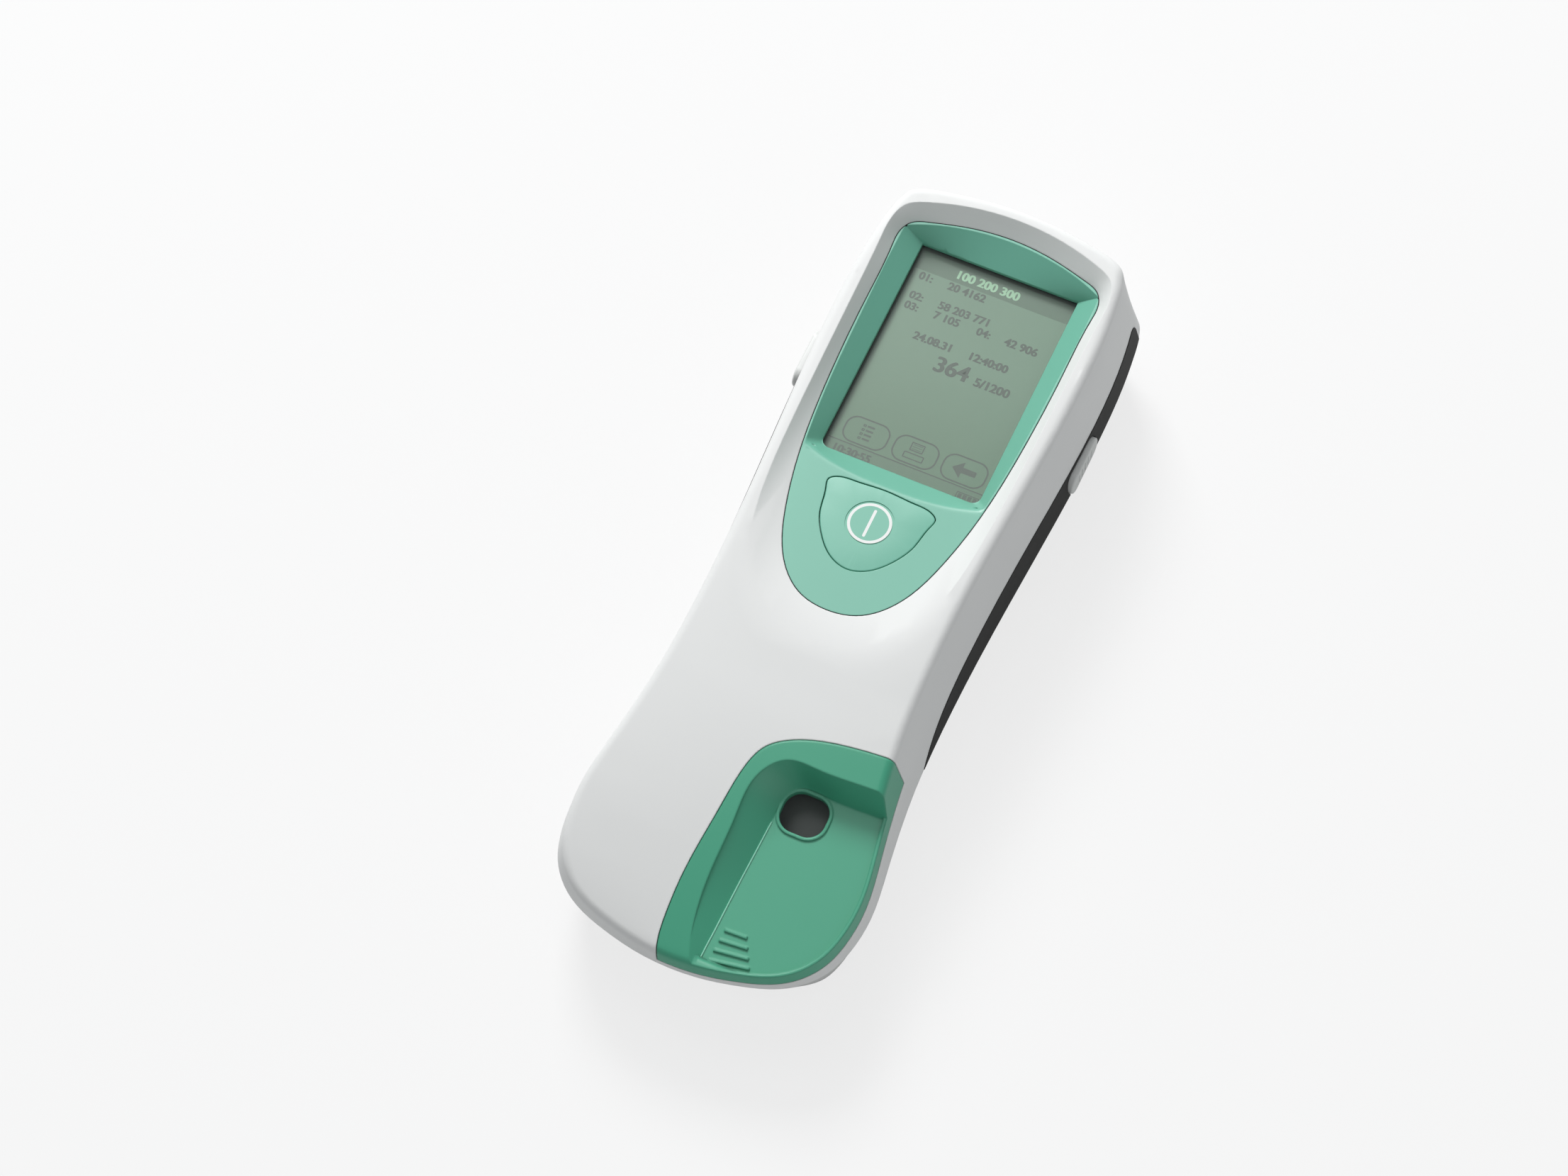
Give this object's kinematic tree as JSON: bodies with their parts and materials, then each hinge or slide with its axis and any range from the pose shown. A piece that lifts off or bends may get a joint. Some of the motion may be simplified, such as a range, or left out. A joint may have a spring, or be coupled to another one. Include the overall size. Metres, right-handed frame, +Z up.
{
  "type": "handheld test meter",
  "caption": "Hand-held rapid test reader: moulded shell, recessed touch display, power key, hinged sample cover with port, sliding battery cover.",
  "frame": {"origin": "on the resting plane, under the middle of the bounding box", "axes": "+X to the right of a user facing the display, +Y to the display end, +Z up out of the display"},
  "size_m": [0.1014, 0.275, 0.055],
  "materials": {
    "bezel_green": "fine satin, light green",
    "housing_white": "fine texture, white",
    "grip_dark": "soft matt",
    "cover_green": "fine satin, green",
    "housing_rear": "fine texture, off-white",
    "battery_cover": "fine texture, off-white",
    "key_green": "fine satin, light green",
    "key_symbol": "white inlay",
    "latch_grey": "satin grey",
    "spring_steel": "bright",
    "infrared_window": "dark red, glossy",
    "gasket": "matt foam",
    "touch_glass": "anti-glare film",
    "lcd_face": "green-grey display",
    "frame_grey": "moulded frame",
    "flex": "amber film",
    "board_green": "solder mask",
    "shield_metal": "tinned",
    "black_plastic": "moulded",
    "chip_black": "moulded",
    "switch_metal": "bright",
    "silicone": "silicone",
    "guide_grey": "moulded grey",
    "heater_copper": "satin",
    "optics_black": "light-tight",
    "lens": "polished",
    "chip_case": "moulded blue",
    "cell_case": "plain sleeve",
    "foot_rubber": "matt",
    "screw_steel": "zinc plated"
  },
  "bodies": {
    "housing": {"display_bezel": "bezel_green", "upper_housing": "housing_white", "side_grip_right": "grip_dark", "side_grip_left": "grip_dark", "rear_housing": "housing_rear", "latch_spring_right": "spring_steel", "latch_spring_left": "spring_steel", "infrared_window": "infrared_window", "display_gasket": "gasket", "touch_window": "touch_glass", "lcd_panel": "lcd_face", "lcd_frame": "frame_grey", "lcd_flex_cable": "flex", "main_board": "board_green", "shield_can": "shield_metal", "beeper": "black_plastic", "board_chips": "chip_black", "power_socket": "black_plastic", "key_board": "board_green", "tact_switch": "switch_metal", "key_return_mat": "silicone", "key_flex_cable": "flex", "sensor_board": "board_green", "strip_guide": "guide_grey", "heater_plate": "heater_copper", "optics_block": "optics_black", "optics_lens": "lens", "sensor_cable": "flex", "code_chip_socket": "black_plastic", "battery_cells": "cell_case", "battery_contacts": "spring_steel", "rubber_feet": "foot_rubber", "housing_screws": "screw_steel", "board_screws": "screw_steel", "sensor_screws": "screw_steel", "key_board_screws": "screw_steel"},
    "key": {"power_key": "key_green", "key_symbol": "key_symbol"},
    "cover": {"application_cover": "cover_green"},
    "door": {"battery_cover": "battery_cover"},
    "button_right": {"latch_right": "latch_grey"},
    "button_left": {"latch_left": "latch_grey"},
    "chip": {"code_chip": "chip_case"}
  },
  "joints": [
    {"name": "power_key_press", "type": "slide", "parent": "housing", "child": "key", "axis": [0, 0, -1], "range_m": [0, 0.0008], "stiffness_N_per_m": 2500, "springref_m": -0.0004},
    {"name": "application_cover_swing", "type": "hinge", "parent": "housing", "child": "cover", "pos_m": [0.025, -0.0558, 0.049], "axis": [-1, 0, 0], "range_deg": [0, 55]},
    {"name": "battery_cover_slide", "type": "slide", "parent": "housing", "child": "door", "axis": [0, 1, 0], "range_m": [0, 0.06]},
    {"name": "release_right_press", "type": "slide", "parent": "housing", "child": "button_right", "axis": [-1, 0, 0], "range_m": [0, 0.0016], "stiffness_N_per_m": 1200, "springref_m": -0.001, "deforming": ["latch_spring_right"]},
    {"name": "release_left_press", "type": "slide", "parent": "housing", "child": "button_left", "axis": [1, 0, 0], "range_m": [0, 0.0016], "stiffness_N_per_m": 1200, "springref_m": -0.001, "deforming": ["latch_spring_left"]},
    {"name": "code_chip_slide", "type": "slide", "parent": "housing", "child": "chip", "axis": [-1, 0, 0], "range_m": [0, 0.024]}
  ]
}
